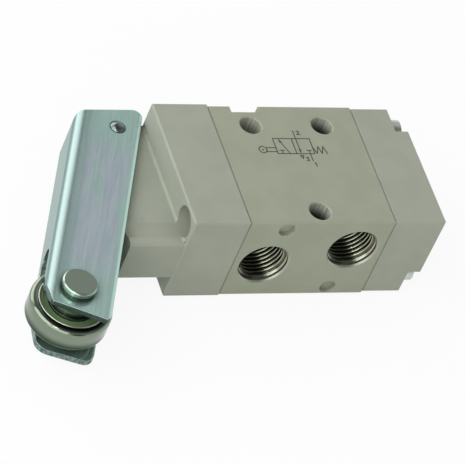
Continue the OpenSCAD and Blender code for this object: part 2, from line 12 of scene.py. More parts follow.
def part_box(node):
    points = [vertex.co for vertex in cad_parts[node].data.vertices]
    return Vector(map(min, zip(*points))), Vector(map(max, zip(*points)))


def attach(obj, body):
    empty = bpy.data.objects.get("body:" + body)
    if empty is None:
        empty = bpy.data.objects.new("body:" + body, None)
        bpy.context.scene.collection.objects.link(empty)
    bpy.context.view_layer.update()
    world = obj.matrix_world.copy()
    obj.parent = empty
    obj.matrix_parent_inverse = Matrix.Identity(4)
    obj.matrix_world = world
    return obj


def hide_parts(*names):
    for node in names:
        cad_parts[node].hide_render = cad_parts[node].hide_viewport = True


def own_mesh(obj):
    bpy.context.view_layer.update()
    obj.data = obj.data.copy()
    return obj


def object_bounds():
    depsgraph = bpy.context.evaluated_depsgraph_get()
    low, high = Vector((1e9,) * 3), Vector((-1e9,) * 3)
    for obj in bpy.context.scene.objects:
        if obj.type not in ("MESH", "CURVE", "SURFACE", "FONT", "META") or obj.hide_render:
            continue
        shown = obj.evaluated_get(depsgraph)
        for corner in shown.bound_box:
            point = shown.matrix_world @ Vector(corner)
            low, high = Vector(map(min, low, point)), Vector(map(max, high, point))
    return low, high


bl_info = {
    "name": "Roller lever air valve",
    "version": (1, 0, 0),
    "blender": (4, 5, 0),
    "location": "3D View > Sidebar > Air valve",
    "description": "Finishes, port threads, printed diagram and studio for a roller lever air valve",
    "category": "Object",
}

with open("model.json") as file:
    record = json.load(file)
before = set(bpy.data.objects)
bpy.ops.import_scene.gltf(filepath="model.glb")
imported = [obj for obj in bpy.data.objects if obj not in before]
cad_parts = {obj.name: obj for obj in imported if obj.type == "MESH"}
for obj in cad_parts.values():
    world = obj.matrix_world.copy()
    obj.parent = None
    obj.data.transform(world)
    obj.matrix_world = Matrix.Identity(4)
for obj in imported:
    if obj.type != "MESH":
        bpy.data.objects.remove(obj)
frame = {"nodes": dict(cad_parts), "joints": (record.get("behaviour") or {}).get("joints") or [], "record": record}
CAD_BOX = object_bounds()
MM = 0.001
ALONG_SPOOL = (1.0, 0.0, 0.0)
UPRIGHT = (0.0, 0.0, 1.0)
WHITE = (1.0, 1.0, 1.0)

# Masks: reach past a hole's wall and past a port's, softness of their ends, and what counts as an edge
HOLE_EDGE = 0.03 * MM
PORT_EDGE = 0.3 * MM
MASK_BLUR = 0.02 * MM
EDGE_SPAN = (0.01, 0.16)
# Part of a noise's range that is stretched to the whole of it
NOISE_SPAN = (0.3, 0.7)

# Block: depth over which painted shade darkens a through hole, and where along the block that painted shade is
# weaker
HOLE_SHADE = (0.9 * MM, 4.2 * MM)
PALER_HOLE_END = (-6 * MM, -4 * MM)

# Lever: spans across it, from the pin towards the free edge
FREE_EDGE_GREEN = (2 * MM, 4.4 * MM)
FREE_EDGE_HIGHLIGHT = (3.7 * MM, 4.1 * MM)
BEND_GREEN_AND_SHADE = (-6.4 * MM, -3.6 * MM)
BEND_START = (-8.4 * MM, -7.7 * MM)
BEND_END = (-7.1 * MM, -6.2 * MM)
WEB_FACE = (-8.3 * MM, -7.9 * MM)
# Lever: distance of its middle from the pin, and the span from there over which it turns green
LEVER_MIDDLE = 22 * MM
ENDS_GREEN = (9 * MM, 22 * MM)
# Lever: heights over which painted shade darkens the cut ends, and of the upper plate's top edge, which takes a
# painted highlight
UPPER_CUT = (6 * MM, 12 * MM)
UPPER_EDGE = (15.4 * MM, 15.8 * MM)
# Lever: how much longer than wide its streaks and its sheen are, and how much taller the tears of its cuts
STREAK_STRETCH = 16
SHEEN_STRETCH = 5
TEAR_STRETCH = 3
# How zinc plate tints what it mirrors at a low angle
LOW_ANGLE_TINT = (0.6, 0.74, 0.7, 1.0)

# Roller: top of its painted shade above its lower end, and the height over which that shade fades
LOW_SHADE_TOP = 2.6 * MM
LOW_SHADE_FADE = 1.8 * MM
# Roller: way to the side of its end faces that takes less painted shade, and distances over which that shade
# lessens
LESS_SHADED_SIDE = (-0.95, 0.31, 0.0)
LESS_SHADED_REACH = (1.5 * MM, 6 * MM)
# Turned pieces: how squarely a face looks along the axis to count as an end face
END_FACE = (0.82, 0.97)

# Port threads, in shares of the radius: painted shade at the bottom, and the place and reach of a band of painted
# shade
THREAD_BOTTOM_SHADE = (0.72, 0.9)
THREAD_SHADE_AT = -0.35
THREAD_SHADE = (0.12, 0.5)
# Port threads: shares of half a turn that are flat root and sloping flank
ROOT_FLAT = 0.14
FLANK = 0.68
# Port threads: turns over which a thread rises and falls at its ends, and its ring's thickness at the root
THREAD_FADE = 0.75
THREAD_BACK = 0.008 * MM

# Steps round a wire, a shield ring, a turn of the coil and a port, and down one turn of thread
WIRE_SIDES = 12
RING_STEPS = 120
COIL_STEPS = 48
PORT_STEPS = 96
PITCH_STEPS = 12
# Diagram: share of the ink's height by which each stroke is higher than the last
STROKE_STEP = 0.01

# Studio: half the floor's width, its drop below the valve and its share of even white
FLOOR_HALF = 3.0
FLOOR_DROP = 0.02 * MM
FLOOR_GLOW = 0.9
# Studio: sines of the heights over which the backdrop turns grey and then dark
BACKDROP_GREY = (0.12, 0.6)
BACKDROP_DARK = (0.74, 0.88)
# Studio: way from the valve to the dark camera stand, which shows in bright metal, and its soft edge
DARK_STAND = (0.22, -0.965, 0.14)
STAND_EDGE = (0.93, 0.985)
# Studio: the camera's film width in millimetres, and the nearest thing that it sees
FILM_WIDTH = 36.0
NEAR_CLIP = 10 * MM
# Studio: each lamp's name, its place from the aim and its size, in metres
LAMPS = (
    ("key", (-0.75, 0.05, 0.6), (0.8, 0.8)),
    ("rim", (-0.36, 0.9, 0.32), (0.9, 0.8)),
    ("top", (0.45, 0.4, 0.7), (0.6, 0.6)),
    ("fill", (-0.55, -0.65, 0.4), (0.9, 0.7)),
    ("flash", (-0.5, -0.45, 0.74), (0.18, 0.18)),
)


def screen(red, green, blue):
    """A colour as it looks on a screen, 0 to 255, as the linear one that a shader takes."""
    linear = []
    for byte in (red, green, blue):
        share = byte / 255
        linear.append(share / 12.92 if share <= 0.04045 else ((share + 0.055) / 1.055) ** 2.4)
    return tuple(linear)


def joint_named(name):
    """One of the frame's joints."""
    for joint in frame["joints"]:
        if joint["name"] == name:
            return joint
    raise ValueError(f"the frame has no joint {name}")


def joint_place(name):
    """Where a hinge stands at rest."""
    return Vector(joint_named(name)["pos_m"])


def threaded_ports():
    """The record's threaded holes, as (name, place, outward axis)."""
    found = []
    for mount in frame["record"]["mounts"]:
        if mount["kind"] == "threaded_hole":
            found.append((mount["name"], Vector(mount["pos_m"]), Vector(mount["axis"])))
    return found


def length_property(name, description, metres):
    """One length that a user may change."""
    return FloatProperty(name=name, description=description, default=metres, unit="LENGTH")


def angle_property(name, description, degrees):
    """One angle that a user may change."""
    return FloatProperty(name=name, description=description, default=math.radians(degrees), subtype="ANGLE")


def power_property(name, description, watts):
    """One lamp's power that a user may change."""
    return FloatProperty(name=name, description=description, default=watts, unit="POWER")


def colour_property(name, description, rgb):
    """One colour that a user may change."""
    return FloatVectorProperty(
        name=name, description=description, default=rgb, size=3, min=0.0, max=1.0, subtype="COLOR"
    )


class ValveSizes(bpy.types.PropertyGroup):
    """Sizes of the pieces that are made here."""

    port_depth: length_property("Port depth", "Depth of a port's thread wall", 8.0 * MM)
    thread_pitch: length_property("Thread pitch", "Distance between two turns", 0.907 * MM)
    thread_root: length_property("Thread root", "Radius at the bottom of the groove", 4.845 * MM)
    thread_depth: length_property("Thread depth", "Height of a turn above its root", 0.53 * MM)
    thread_lip: length_property("Thread lip", "Plain length before the thread", 0.8 * MM)
    thread_tail: length_property("Thread tail", "Plain length behind the thread", 0.5 * MM)
    coil_wire: length_property("Coil wire", "Radius of the return spring's wire", 0.35 * MM)
    coil_turns: FloatProperty(name="Coil turns", description="Turns of the return spring", default=4.5)
    ring_wire: length_property("Ring wire", "Radius of the shield rings' wire", 0.15 * MM)
    stroke_width: length_property("Stroke width", "Width of the diagram's lines", 0.22 * MM)
    ink_height: length_property("Ink height", "How far the print stands on the block", 0.012 * MM)
    lever_tilt: angle_property("Lever tilt", "Angle of the lever at rest", 22.3)


class ValveColours(bpy.types.PropertyGroup):
    """Colours of the valve's finishes."""

    block: colour_property("Block", "Coat of the valve block", screen(151, 157, 137))
    cover: colour_property("Covers", "Coat of the head and the spring cap", screen(154, 159, 145))
    lever: colour_property("Lever", "Zinc plate of the lever", screen(176, 190, 192))
    axle: colour_property("Axle", "Zinc plate of the axle and its sleeves", screen(174, 190, 174))
    bearing: colour_property("Bearing", "Polished steel of the roller", screen(138, 151, 134))
    pin: colour_property("Pin", "Polished steel of the pin, plunger and spool", screen(120, 130, 132))
    shield: colour_property("Shield", "Dark sheet of the bearing's shields", screen(112, 136, 98))
    ring: colour_property("Shield rings", "Bright wire that holds the shields", screen(214, 222, 202))
    screw: colour_property("Screws", "Plate of the cover screws", screen(198, 204, 198))
    brass: colour_property("Brass", "Turned bush and cages", screen(206, 178, 112))
    spring: colour_property("Spring", "Drawn wire of the return spring", screen(186, 188, 190))
    seal: colour_property("Seals", "Rubber of the seals", screen(38, 38, 40))
    bare: colour_property("Bare metal", "Cut threads and drilled holes", screen(204, 206, 192))
    ink: colour_property("Print", "Ink of the diagram", screen(66, 67, 62))


class StudioSettings(bpy.types.PropertyGroup):
    """Camera and lamps."""

    azimuth: angle_property("Azimuth", "Camera's way round the valve", -34.655)
    elevation: angle_property("Elevation", "Camera's height angle", 42.889)
    roll: angle_property("Roll", "Camera's turn about its own axis", 24.911)
    distance: length_property("Distance", "From the camera to the aim", 722.65 * MM)
    aim: FloatVectorProperty(
        name="Aim", description="Point at the picture's centre", default=(-0.013488, -0.008279, 0.0102),
        size=3, subtype="XYZ", unit="LENGTH",
    )
    lens: FloatProperty(name="Lens", description="Focal length", default=297.395, unit="CAMERA")
    key_power: power_property("Key lamp", "Power of the main lamp", 4.2)
    rim_power: power_property("Rim lamp", "Power of the lamp behind the lever", 3.7)
    top_power: power_property("Top lamp", "Power of the overhead lamp", 0.4)
    fill_power: power_property("Fill lamp", "Power of the lamp in front", 2.8)
    flash_power: power_property("Flash", "Power of the small lamp over the camera", 0.7)
    sky: FloatProperty(name="Room light", description="Level of the even light", default=0.5)


class Shade:
    """A socket's value in a node tree; sums on it add Math nodes."""

    def __init__(self, nodes, socket):
        self.nodes = nodes
        self.socket = socket

    def maths(self, operation, first, second):
        return self.nodes.node("ShaderNodeMath", {"operation": operation}, {0: first, 1: second})

    def __add__(self, other):
        return self.maths("ADD", self, other)

    def __radd__(self, other):
        return self.maths("ADD", other, self)

    def __sub__(self, other):
        return self.maths("SUBTRACT", self, other)

    def __rsub__(self, other):
        return self.maths("SUBTRACT", other, self)

    def __mul__(self, other):
        return self.maths("MULTIPLY", self, other)

    def __rmul__(self, other):
        return self.maths("MULTIPLY", other, self)

    def __truediv__(self, other):
        return self.maths("DIVIDE", self, other)

    def __rtruediv__(self, other):
        return self.maths("DIVIDE", other, self)

    def at_least(self, other):
        return self.maths("MAXIMUM", self, other)

    def magnitude(self):
        return self.maths("ABSOLUTE", self, 0.0)


class NodeTree:
    """A node tree whose nodes all come from one method."""

    # Places of the colour sockets on a Mix node
    MIX_INPUTS = (0, 6, 7)
    MIX_OUTPUT = 2

    def __init__(self, tree):
        self.tree = tree
        tree.nodes.clear()

    def node(self, kind, settings=None, sockets=None, output=0):
        """Add a node: its settings first, then its sockets' values or links."""
        made = self.tree.nodes.new(kind)
        for name, value in (settings or {}).items():
            setattr(made, name, value)
        for name, value in (sockets or {}).items():
            if isinstance(value, Shade):
                self.tree.links.new(value.socket, made.inputs[name])
            else:
                made.inputs[name].default_value = value
        return Shade(self, made.outputs[output]) if made.outputs else None

    def noise(self, place, size, detail=2.0, rough=0.5):
        """Cloudy pattern from 0 to 1 with lumps of about this size in metres."""
        sockets = {"Vector": place, "Scale": 1 / size, "Detail": detail, "Roughness": rough}
        return self.node("ShaderNodeTexNoise", {"noise_dimensions": "3D"}, sockets)

    def between(self, value, low, high):
        """0 up to low, 1 from high, smooth between them."""
        settings = {"interpolation_type": "SMOOTHSTEP"}
        sockets = {"Value": value, "From Min": low, "From Max": high}
        return self.node("ShaderNodeMapRange", settings, sockets)

    def mix(self, factor, first, second, strength=1.0):
        """One colour turning into another, up to this strength."""
        if strength < 1.0:
            factor = factor * strength
        colours = [colour if isinstance(colour, Shade) else (*colour, 1.0) for colour in (first, second)]
        sockets = dict(zip(self.MIX_INPUTS, (factor, *colours)))
        return self.node("ShaderNodeMix", {"data_type": "RGBA"}, sockets, self.MIX_OUTPUT)

    def vector(self, operation, first, second, output="Vector"):
        """Vector maths on two vectors."""
        return self.node("ShaderNodeVectorMath", {"operation": operation}, {0: first, 1: second}, output)

    def along(self, place, direction):
        """Distance of a place along a direction."""
        return self.vector("DOT_PRODUCT", place, direction, "Value")

    def joined(self, x, y, z):
        """Three values as one vector."""
        return self.node("ShaderNodeCombineXYZ", {}, {"X": x, "Y": y, "Z": z})

    def off_axis(self, place, centre, across_axis):
        """Distance from an axis through centre, by weights that are 0 along it and 1 across it."""
        flat = self.vector("MULTIPLY", self.vector("SUBTRACT", place, centre), across_axis)
        return self.node("ShaderNodeVectorMath", {"operation": "LENGTH"}, {0: flat}, "Value")

    def under(self, value, limit):
        """1 where a length is less than the limit, 0 where it is more."""
        return 1 - self.between(value, limit - MASK_BLUR, limit + MASK_BLUR)

    def inside(self, place, holes):
        """1 within any of these holes, each a middle, an axis, a radius and half its length."""
        found = 0.0
        for middle, axis, radius, half in holes:
            reach = self.off_axis(place, middle, across(axis))
            depth = (self.along(place, axis) - middle.dot(axis)).magnitude()
            found = (self.under(reach, radius) * self.under(depth, half)).at_least(found)
        return found


class Finish(NodeTree):
    """A surface finish made of nodes."""

    def __init__(self, name):
        self.material = bpy.data.materials.new(name)
        self.material.use_nodes = True
        super().__init__(self.material.node_tree)

    def place(self):
        """Place on the piece, in metres."""
        return self.node("ShaderNodeTexCoord", {}, {}, "Object")

    def facing(self, direction):
        """How far a face looks along a direction, 0 to 1, either way."""
        normal = self.node("ShaderNodeTexCoord", {}, {}, "Normal")
        return self.along(normal, direction).magnitude()

    def cavity(self, reach):
        """1 deep in holes and corners, 0 on open faces."""
        return 1 - self.node("ShaderNodeAmbientOcclusion", {"samples": 8}, {"Distance": reach}, "AO")

    def rounded(self, radius):
        """Normal as if the edges were rounded."""
        return self.node("ShaderNodeBevel", {"samples": 6}, {"Radius": radius})

    def edges(self, radius):
        """1 at edges and corners, 0 on faces."""
        normal = self.node("ShaderNodeNewGeometry", {}, {}, "Normal")
        return self.between(1 - self.along(self.rounded(radius), normal), *EDGE_SPAN)

    def bump(self, height, depth, normal=None):
        """Normal with a height pattern pressed into it, depth in metres."""
        sockets = {"Height": height, "Distance": depth, "Strength": 1.0}
        if normal is not None:
            sockets["Normal"] = normal
        return self.node("ShaderNodeBump", {}, sockets)

    def surface(self, base, roughness, normal, metallic, constants=None):
        """The shader that shows; constants are sockets that are the same all over it."""
        sockets = {"Base Color": base, "Roughness": roughness, "Normal": normal, "Metallic": metallic}
        shader = self.node("ShaderNodeBsdfPrincipled", {}, {**sockets, **(constants or {})})
        self.node("ShaderNodeOutputMaterial", {}, {"Surface": shader})
        return self.material


def tinted(colour, red, green, blue):
    """A colour with its three parts made stronger or weaker."""
    return tuple(min(1.0, part * factor) for part, factor in zip(colour, (red, green, blue)))


def scaled(colour, factor):
    """A colour made darker or lighter."""
    return tinted(colour, factor, factor, factor)


def across(axis):
    """Weights that are 0 along an axis and 1 across it."""
    return tuple(1.0 - abs(part) for part in axis)


def drilled_holes(port_depth):
    """The record's plain and threaded holes, as (middle, axis, radius, half length)."""
    low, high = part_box("body_block")
    through = high.z - low.z
    found = []
    for mount in frame["record"]["mounts"]:
        place = Vector(mount["pos_m"])
        axis = Vector(mount["axis"])
        sizes = mount["dims"]
        if mount["kind"] == "bolt_pattern":
            step = Vector((sizes["spacing_x_mm"] * MM / 2, 0.0, 0.0))
            for spot in (place - step, place + step):
                found.append((spot, axis, sizes["hole_r_mm"] * MM + HOLE_EDGE, through))
        elif mount["kind"] == "bore":
            found.append((place, axis, sizes["r_mm"] * MM + HOLE_EDGE, through))
        elif mount["kind"] == "threaded_hole":
            found.append((place, axis, sizes["r_mm"] * MM + PORT_EDGE, port_depth / 2 + MASK_BLUR))
    return found


def coat_finish(name, colour, bare_colour, holes=()):
    """Matte coat on cast metal: fine grain, cloudy tone, a painted highlight along the edges, painted shade in
    recesses, bare in drilled holes with painted shade deep in them.
    """
    finish = Finish(name)
    place = finish.place()
    cloud = finish.noise(place, size=7 * MM, detail=3.0)
    grain = finish.noise(place, size=0.16 * MM)
    pits = finish.between(finish.noise(place, size=0.5 * MM, detail=3.0), low=0.66, high=0.78)
    edge = finish.edges(radius=0.22 * MM)
    recess_shade = finish.between(finish.cavity(reach=1.2 * MM), low=0.28, high=0.8)
    tone = finish.between(cloud, *NOISE_SPAN) * 0.7 + grain * 0.3
    base = finish.mix(tone, scaled(colour, 0.95), scaled(colour, 1.05))
    base = finish.mix(pits, base, scaled(colour, 0.8), strength=0.35)
    # A painted highlight along the edges
    base = finish.mix(edge, base, scaled(colour, 1.5), strength=0.5)
    # Painted shade in recesses and corners
    base = finish.mix(recess_shade, base, scaled(colour, 0.3), strength=0.55)
    roughness = 0.56 + grain * 0.1 - edge * 0.12
    height = grain - pits * 0.5
    metallic = 0.0
    if holes:
        bare = finish.inside(place, holes)
        through = finish.inside(place, [hole for hole in holes if hole[1].z])
        # Streaks run down the through holes: drill marks in their roughness, and a painted reflection in their
        # colour
        from_middle = finish.along(place, ALONG_SPOOL)
        marks = finish.noise(finish.joined(from_middle, 0.0, 0.0), size=0.3 * MM)
        streak = finish.between(marks, low=0.35, high=0.65)
        drilled = finish.mix(streak, scaled(bare_colour, 0.6), bare_colour)
        base = finish.mix(bare, base, finish.mix(through, scaled(bare_colour, 0.62), drilled))
        # Painted shade darkens their walls below the mouth, with less of it at the paler end
        low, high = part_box("body_block")
        level = finish.along(place, UPRIGHT) - (low.z + high.z) / 2
        depth = (high.z - low.z) / 2 - level.magnitude()
        paler_end = 1 - finish.between(from_middle, *PALER_HOLE_END)
        hole_shade = finish.between(depth, *HOLE_SHADE) * through * (1 - paler_end * 0.65)
        base = finish.mix(hole_shade, base, scaled(bare_colour, 0.04))
        roughness = roughness * (1 - bare) + bare * (0.3 + streak * 0.12)
        height = height * (1 - bare)
        metallic = bare * 0.9 - through * 0.65
    normal = finish.bump(height, depth=0.006 * MM, normal=finish.rounded(0.12 * MM))
    return finish.surface(base, roughness, normal, metallic, constants={"IOR": 1.42})


def lever_finish(name, colour, tilt, pivot, pin_radius):
    """Zinc plate on rolled sheet: streaks along the lever, sheared ends, a dark ring round the pin, painted shade
    on the web, beside the bend, in the corners and on the upper cut, and painted highlights along the bend and the
    edges.
    """
    finish = Finish(name)
    place = finish.place()
    lengthwise = Vector((math.sin(tilt), math.cos(tilt), 0.0))
    crosswise = Vector((math.cos(tilt), -math.sin(tilt), 0.0))
    along = finish.along(place, lengthwise)
    sideways = finish.along(place, crosswise)
    height = finish.along(place, UPRIGHT)
    offset = sideways - pivot.dot(crosswise)
    from_middle = (along - (pivot.dot(lengthwise) - LEVER_MIDDLE)).magnitude()
    edge = finish.edges(radius=0.25 * MM)
    cut = finish.between(finish.facing(lengthwise), low=0.25, high=0.4)
    # Streaks, violet in the middle of the plate and green towards its sides and ends
    drawn = finish.joined(along / STREAK_STRETCH, sideways, height)
    streak = finish.noise(drawn, size=0.7 * MM, detail=3.0, rough=0.6)
    fine = finish.noise(drawn, size=0.14 * MM)
    cloud = finish.noise(place, size=8 * MM)
    tone = finish.between(streak, *NOISE_SPAN) * 0.5 + finish.between(fine, *NOISE_SPAN) * 0.2 + cloud * 0.3
    violet = finish.mix(tone, tinted(colour, 0.84, 0.82, 0.9), tinted(colour, 1.14, 1.1, 1.18))
    green = finish.mix(tone, tinted(colour, 0.72, 0.88, 0.78), tinted(colour, 1.02, 1.22, 1.08))
    patches = finish.noise(finish.joined(along / SHEEN_STRETCH, sideways, height), size=2.6 * MM)
    by_bend = 1 - finish.between(offset, *BEND_GREEN_AND_SHADE)
    greenish = finish.between(patches, low=0.48, high=0.74).at_least(by_bend * 0.7)
    for distance, span in ((offset, FREE_EDGE_GREEN), (from_middle, ENDS_GREEN)):
        greenish = greenish.at_least(finish.between(distance, *span))
    base = finish.mix(greenish, violet, green)
    # Painted shade on the web and on the plate beside the bend, a pale painted highlight tone along the bend, and
    # a painted highlight line along the free edge
    shaded = tinted(colour, 0.42, 0.5, 0.48)
    bend = finish.between(offset, *BEND_START) * (1 - finish.between(offset, *BEND_END))
    on_web = 1 - finish.between(offset, *WEB_FACE)
    free_edge_highlight = finish.between(offset, *FREE_EDGE_HIGHLIGHT)
    base = finish.mix(by_bend, base, shaded, strength=0.45)
    base = finish.mix(bend, base, tinted(colour, 0.94, 1.02, 0.96), strength=0.8)
    base = finish.mix(on_web, base, shaded, strength=0.65)
    base = finish.mix(free_edge_highlight, base, tinted(colour, 1.5, 1.8, 1.55), strength=0.8)
    # Painted shade in the corners and a painted highlight on the edges
    corners = finish.between(finish.cavity(reach=3 * MM), low=0.08, high=0.5)
    base = finish.mix(corners, base, tinted(colour, 0.1, 0.17, 0.11), strength=0.9)
    base = finish.mix(edge * (1 - cut), base, scaled(colour, 1.7), strength=0.8)
    # Torn, sheared ends, with painted shade on the upper cut and a painted highlight on its top edge
    tears = finish.joined(along, sideways, height / TEAR_STRETCH)
    torn = finish.noise(tears, size=0.32 * MM, detail=3.0, rough=0.65)
    dark_tear = tinted(colour, 0.14, 0.2, 0.16)
    pale_tear = tinted(colour, 0.7, 0.78, 0.68)
    shear = finish.mix(finish.between(torn, low=0.35, high=0.7), dark_tear, pale_tear)
    upper = finish.between(height, *UPPER_CUT)
    shear = finish.mix(upper, shear, tinted(colour, 0.06, 0.1, 0.07), strength=0.85)
    shear = finish.mix(edge * finish.between(height, *UPPER_EDGE), shear, scaled(colour, 1.6))
    base = finish.mix(cut, base, shear)
    # Darker in a ring round the pin
    ring = finish.off_axis(place, pivot, across(UPRIGHT))
    dark_ring = 1 - finish.between(ring, low=pin_radius, high=pin_radius + 0.35 * MM)
    base = finish.mix(dark_ring, base, scaled(colour, 0.12), strength=0.9)
    relief = fine * 0.4 + streak * 0.6 + cut * torn * 24
    normal = finish.bump(relief, depth=0.002 * MM, normal=finish.rounded(0.22 * MM))
    roughness = 0.14 + streak * 0.1 + cut * 0.2 + bend * (0.1 + fine * 0.16)
    constants = {"Specular Tint": LOW_ANGLE_TINT}
    return finish.surface(base, roughness, normal, metallic=0.75, constants=constants)


def turned_finish(
    name, colour, centre, axis, *, gloss, depth,
    metal=0.95, rim=0.1 * MM, dull=0.88, ends=1.0, less_shaded_side=None, shaded_below=None,
):
    """Bare metal with a lathe's fine rings, and a painted highlight on its edges.

    The end faces take painted shade down to the tone that ends gives, less of it on a chosen side, and painted
    shade darkens the piece below a given height along its axis.
    """
    finish = Finish(name)
    place = finish.place()
    level = finish.along(place, axis)
    radius = finish.off_axis(place, centre, across(axis))
    rings = finish.noise(finish.joined(radius, level, 0.0), size=0.12 * MM)
    cloud = finish.noise(place, size=3 * MM)
    edge = finish.edges(radius=0.12 * MM)
    base = finish.mix(rings * 0.6 + cloud * 0.4, scaled(colour, dull), scaled(colour, 1.08))
    # A painted highlight on the edges
    base = finish.mix(edge, base, scaled(colour, 1.25), strength=0.4)
    # Painted shade on the end faces, less of it on one side
    if ends < 1.0:
        dark_end = finish.between(finish.facing(axis), *END_FACE)
        if less_shaded_side is not None:
            reach = finish.along(place, less_shaded_side) - centre.dot(Vector(less_shaded_side))
            dark_end = dark_end * (1 - finish.between(reach, *LESS_SHADED_REACH) * 0.8)
        base = finish.mix(dark_end, base, scaled(colour, ends))
    # Painted shade darkens the lower end, up to the given height
    if shaded_below is not None:
        low_shade = 1 - finish.between(level, low=shaded_below - LOW_SHADE_FADE, high=shaded_below)
        base = finish.mix(low_shade, base, tinted(colour, 0.1, 0.15, 0.1), strength=0.92)
    normal = finish.bump(rings, depth, normal=finish.rounded(rim))
    return finish.surface(base, gloss + rings * 0.1 + cloud * 0.05, normal, metal)


def thread_finish(name, colour, mouth, out, sizes):
    """Cut thread: crests and mouth in the metal's tone, painted shade between the turns, at the bottom and in a
    band beside the middle.
    """
    finish = Finish(name)
    place = finish.place()
    radius = finish.off_axis(place, mouth, across(out))
    crest = 1 - finish.between(radius, low=sizes.thread_root - sizes.thread_depth, high=sizes.thread_root)
    depth = mouth.dot(out) - finish.along(place, out)
    open_end = 1 - finish.between(depth, low=sizes.thread_lip, high=sizes.thread_lip + sizes.thread_pitch)
    chatter = finish.noise(place, size=0.4 * MM)
    metal = finish.mix(chatter, tinted(colour, 0.52, 0.55, 0.5), tinted(colour, 0.72, 0.75, 0.7))
    # Painted shade between the turns, kept off the mouth
    shown = finish.between(crest, low=0.5, high=0.95).at_least(open_end)
    base = finish.mix(shown, tinted(colour, 0.2, 0.18, 0.13), metal)
    # Painted shade at the bottom
    downward = (mouth.z - finish.along(place, UPRIGHT)) / sizes.thread_root
    bottom_shade = finish.between(downward, *THREAD_BOTTOM_SHADE) * (0.9 - open_end * 0.3)
    base = finish.mix(bottom_shade, base, tinted(colour, 0.1, 0.11, 0.08))
    # A band of painted shade beside the middle
    beside = (finish.along(place, ALONG_SPOOL) - mouth.x) / sizes.thread_root
    shaded = 1 - finish.between((beside - THREAD_SHADE_AT).magnitude(), *THREAD_SHADE)
    base = finish.mix(shaded, base, tinted(colour, 0.05, 0.055, 0.04), strength=0.92)
    normal = finish.bump(chatter, depth=0.002 * MM)
    return finish.surface(base, 0.12 + chatter * 0.1, normal, metallic=1.0)


def plated_finish(name, colour, gloss):
    """Plated small steel pieces with a slightly cloudy surface and a painted highlight on their edges."""
    finish = Finish(name)
    place = finish.place()
    cloud = finish.noise(place, size=1.4 * MM, detail=3.0)
    grain = finish.noise(place, size=0.08 * MM)
    edge = finish.edges(radius=0.1 * MM)
    base = finish.mix(finish.between(cloud, *NOISE_SPAN), scaled(colour, 0.86), scaled(colour, 1.06))
    # A painted highlight on the edges
    base = finish.mix(edge, base, scaled(colour, 1.3), strength=0.5)
    normal = finish.bump(grain, depth=0.003 * MM, normal=finish.rounded(0.08 * MM))
    return finish.surface(base, gloss + cloud * 0.12, normal, metallic=0.9)


def rubber_finish(name, colour):
    """Moulded rubber with a dry bloom."""
    finish = Finish(name)
    place = finish.place()
    bloom = finish.noise(place, size=1.5 * MM, detail=3.0)
    grain = finish.noise(place, size=0.09 * MM)
    base = finish.mix(finish.between(bloom, low=0.35, high=0.75), colour, scaled(colour, 1.9))
    normal = finish.bump(grain, depth=0.006 * MM)
    return finish.surface(base, 0.5 + bloom * 0.2, normal, metallic=0.0)


def ink_finish(name, colour):
    """Screen print, a little thin in places."""
    finish = Finish(name)
    thin = finish.noise(finish.place(), size=0.35 * MM, detail=3.0)
    base = finish.mix(finish.between(thin, low=0.5, high=0.8), colour, scaled(colour, 1.7))
    normal = finish.bump(thin, depth=0.003 * MM)
    return finish.surface(base, 0.5 + thin * 0.15, normal, metallic=0.0)


def wear(nodes, material):
    """Give CAD nodes a finish."""
    for name in nodes:
        slots = frame["nodes"][name].data.materials
        slots.clear()
        slots.append(material)


def nodes_of(slot):
    """Names of the CAD nodes that the record gives a material slot."""
    return [part["node"] for part in frame["record"]["subparts"] if part["material_slot"] == slot]


def new_piece(name, shape, material):
    """A mesh object from a bmesh, in the scene's collection."""
    bmesh.ops.recalc_face_normals(shape, faces=shape.faces)
    mesh = bpy.data.meshes.new(name)
    shape.to_mesh(mesh)
    shape.free()
    mesh.materials.append(material)
    piece = bpy.data.objects.new(name, mesh)
    bpy.context.scene.collection.objects.link(piece)
    return piece


def even_angles(count):
    """Angles of even steps once round a circle."""
    return [2 * math.pi * k / count for k in range(count)]


def skin(shape, rows, closed):
    """Smooth faces between rings of points; a closed skin goes from the last ring back to the first."""
    following_rows = rows[1:] + rows[:1] if closed else rows[1:]
    for row, following in zip(rows, following_rows):
        for k in range(len(row)):
            near = (k + 1) % len(row)
            face = shape.faces.new((row[k], row[near], following[near], following[k]))
            face.smooth = True


def wire_row(shape, centre, ray, axis, wire):
    """A ring of points round a wire of this radius, in the plane of ray and axis."""
    row = []
    for turn in even_angles(WIRE_SIDES):
        row.append(shape.verts.new(centre + (ray * math.cos(turn) + axis * math.sin(turn)) * wire))
    return row


def wire_ring(shape, centre, radius, wire):
    """Add a closed ring of round wire that lies flat."""
    rows = []
    for angle in even_angles(RING_STEPS):
        ray = Vector((math.cos(angle), math.sin(angle), 0.0))
        rows.append(wire_row(shape, centre + ray * radius, ray, Vector(UPRIGHT), wire))
    skin(shape, rows, closed=True)


def wound_coil(low, high, wire, turns):
    """A round wire wound along the spool between two corners of a box, closed at both ends."""
    middle = (low + high) / 2
    radius = (high.y - low.y) / 2 - wire
    steps = round(turns * COIL_STEPS)
    shape = bmesh.new()
    rows = []
    for k in range(steps + 1):
        angle = 2 * math.pi * k / COIL_STEPS
        ray = Vector((0.0, math.sin(angle), -math.cos(angle)))
        advance = low.x + wire + (high.x - low.x - 2 * wire) * k / steps
        centre = Vector((advance, middle.y, middle.z)) + ray * radius
        rows.append(wire_row(shape, centre, ray, Vector(ALONG_SPOOL), wire))
    skin(shape, rows, closed=False)
    shape.faces.new(rows[0])
    shape.faces.new(rows[-1])
    return shape


def thread_rise(turn):
    """Height of a thread's flank, 0 at the root and 1 at the crest, over one turn from 0 to 1."""
    climb = 1 - abs(2 * turn - 1)
    return min(1.0, max(0.0, (climb - ROOT_FLAT) / FLANK))


